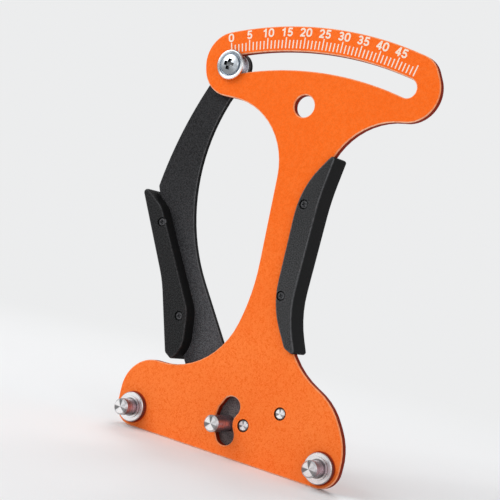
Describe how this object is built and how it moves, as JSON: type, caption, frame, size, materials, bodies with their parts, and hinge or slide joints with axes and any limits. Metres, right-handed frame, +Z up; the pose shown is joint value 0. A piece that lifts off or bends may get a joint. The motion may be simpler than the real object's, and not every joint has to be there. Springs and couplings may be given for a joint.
{
  "type": "spoke tension meter",
  "caption": "Hand-held wheel spoke tension meter: two fixed posts, a sprung lever with a moving pin, two grips, and a pointer on a dial arc.",
  "frame": {"origin": "middle of the front plate's bottom edge, midway between the two fixed posts and in the middle of the plate's thickness", "axes": "+X to the right seen from the front, -Y out of the dial side, +Z up along the neck"},
  "size_m": [0.1426, 0.0319, 0.2068],
  "materials": {
    "orange_coat": "fine satin powder coat",
    "black_coat": "finely textured black powder coat",
    "grip_plastic": "matte moulded plastic",
    "turned_steel": "bright turned steel",
    "zinc": "zinc plated",
    "dark_screws": "black oxide",
    "spring_steel": "oil-dipped spring wire"
  },
  "bodies": {
    "plate": {"front_plate": "orange_coat", "post_left": "turned_steel", "post_right": "turned_steel", "post_screws": "zinc", "post_washers": "turned_steel", "pivot_pin": "turned_steel", "pivot_spacer": "turned_steel", "pivot_end_washer": "turned_steel", "pivot_clip": "dark_screws", "spring_anchor": "turned_steel", "right_grip": "grip_plastic", "right_grip_screws": "dark_screws", "torsion_spring": "spring_steel"},
    "lever": {"lever_arm": "black_coat", "pivot_bush": "turned_steel", "moving_pin": "turned_steel", "moving_pin_screw": "zinc", "left_grip": "grip_plastic", "left_grip_screws": "dark_screws", "pointer_screw": "zinc", "pointer_sleeve": "turned_steel", "pointer_spacer": "turned_steel", "pointer_nut": "zinc", "spring_stud": "turned_steel"}
  },
  "joints": [
    {"name": "lever_squeeze", "type": "hinge", "parent": "plate", "child": "lever", "pos_m": [0.0092, 0, 0.017], "axis": [0, 1, 0], "range_deg": [0, 31.5], "stiffness_Nm_per_rad": 0.5, "springref_deg": -57.3, "deforming": ["torsion_spring"]}
  ]
}
